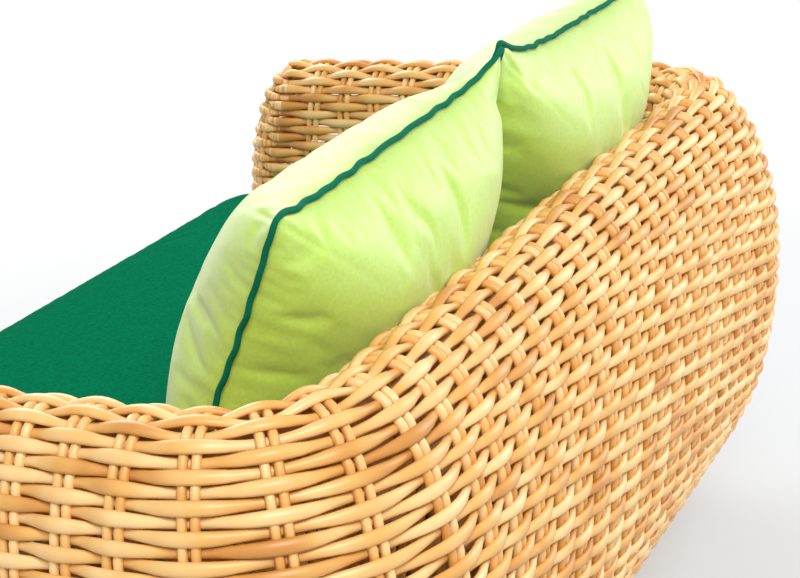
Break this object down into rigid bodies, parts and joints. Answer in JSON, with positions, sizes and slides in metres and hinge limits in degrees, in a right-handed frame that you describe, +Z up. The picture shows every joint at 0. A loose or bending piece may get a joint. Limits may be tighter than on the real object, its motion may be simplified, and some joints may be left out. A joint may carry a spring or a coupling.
{
  "type": "two-seater garden sofa",
  "caption": "Low woven-cane garden sofa with a rolled, bulging shell that reaches the floor, a thick seat cushion and square back pillows.",
  "frame": {"origin": "on the floor under the middle of the shell, measured over the bulge of the arms, the back and the front", "axes": "+X along the sofa, +Y from the seat to the back, +Z up"},
  "size_m": [1.53, 0.925, 0.8349],
  "materials": {
    "woven_cane": "satin",
    "cane_poles": "satin",
    "timber": "matte",
    "screws": "satin",
    "glides": "matte",
    "seat_cover": "matte",
    "foam": "matte",
    "pillow_cover": "matte",
    "pillow_piping": "matte",
    "zips": "matte"
  },
  "bodies": {
    "frame": {"outer_weave_back": "woven_cane", "outer_weave_corner_right": "woven_cane", "outer_weave_corner_left": "woven_cane", "outer_weave_arm_right": "woven_cane", "outer_weave_arm_left": "woven_cane", "inner_weave_back": "woven_cane", "inner_weave_corner_right": "woven_cane", "inner_weave_corner_left": "woven_cane", "inner_weave_arm_right": "woven_cane", "inner_weave_arm_left": "woven_cane", "arm_front_weave_right": "woven_cane", "arm_front_weave_left": "woven_cane", "front_corner_weave_right": "woven_cane", "front_corner_weave_left": "woven_cane", "apron_weave": "woven_cane", "apron_rim_weave": "woven_cane", "top_rail_back": "cane_poles", "arm_rail_right": "cane_poles", "arm_rail_left": "cane_poles", "back_uprights": "cane_poles", "arm_uprights": "cane_poles", "seat_ring": "cane_poles", "front_rail": "cane_poles", "slat_rails": "cane_poles", "bearers": "cane_poles", "long_bearers": "cane_poles", "legs": "cane_poles", "base_pole_front": "cane_poles", "base_pole_back": "cane_poles", "base_side_poles": "cane_poles", "base_middle_pole": "cane_poles", "rail_dowels": "timber", "seat_slats": "timber", "bearer_screws": "screws", "glides": "glides"},
    "seat_cushion": {"seat_cushion": "seat_cover", "seat_foam": "foam", "seat_zip": "zips"},
    "pillow_right": {"pillow_right": "pillow_cover", "pillow_piping_right": "pillow_piping", "pillow_zip_right": "zips"},
    "pillow_left": {"pillow_left": "pillow_cover", "pillow_piping_left": "pillow_piping", "pillow_zip_left": "zips"}
  },
  "joints": [
    {"name": "seat_cushion_lift", "type": "slide", "parent": "frame", "child": "seat_cushion", "axis": [0, 0, 1], "range_m": [0, 0.25]},
    {"name": "pillow_right_lift", "type": "slide", "parent": "seat_cushion", "child": "pillow_right", "axis": [0, 0, 1], "range_m": [0, 0.2]},
    {"name": "pillow_left_lift", "type": "slide", "parent": "seat_cushion", "child": "pillow_left", "axis": [0, 0, 1], "range_m": [0, 0.2]}
  ]
}
